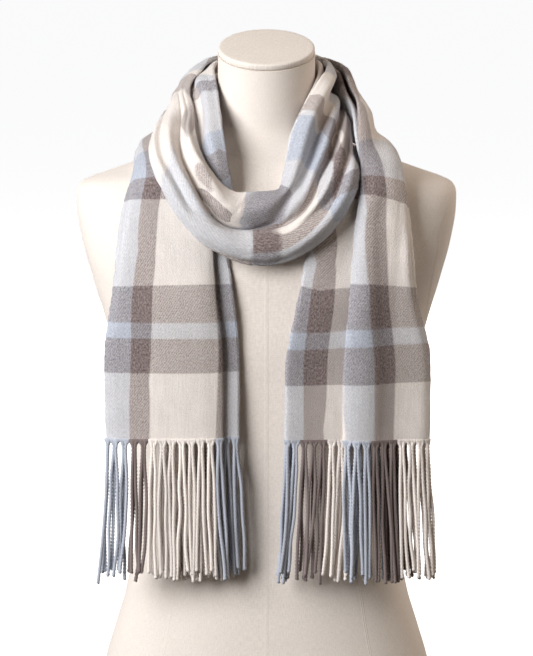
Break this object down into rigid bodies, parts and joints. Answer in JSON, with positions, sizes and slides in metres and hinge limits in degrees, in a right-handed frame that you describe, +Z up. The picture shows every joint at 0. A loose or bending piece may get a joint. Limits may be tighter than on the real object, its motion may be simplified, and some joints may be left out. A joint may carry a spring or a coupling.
{
  "type": "plaid blanket scarf with fringed ends, wound round the neck of a limbless dress form",
  "caption": "Long plaid wool scarf with twisted fringe, wound once round the neck of a linen dress form so that both ends hang down the front.",
  "frame": {"origin": "centre line of the dress form, on the flat base it stands on", "axes": "+Z up along the form, -Y out of its chest, +X to the right in a view of its front"},
  "size_m": [0.451, 0.2579, 0.8053],
  "materials": {
    "linen_torso": "natural linen stretched over a padded form, plain weave with fine seams",
    "linen_cap": "natural linen stretched over a flat lid",
    "plaid_wool": "brushed wool twill in a plaid of cream, pale blue and dark brown, soft and matt",
    "fringe_wool": "twisted wool yarn in the plaid's colours"
  },
  "bodies": {
    "root": {"form_torso": "linen_torso", "form_neck_cap": "linen_cap", "scarf_left_tail": "plaid_wool", "scarf_inner_nape": "plaid_wool", "scarf_front_loop": "plaid_wool", "scarf_outer_nape": "plaid_wool", "scarf_right_tail": "plaid_wool", "fringe_left": "fringe_wool", "fringe_right": "fringe_wool"}
  },
  "joints": []
}
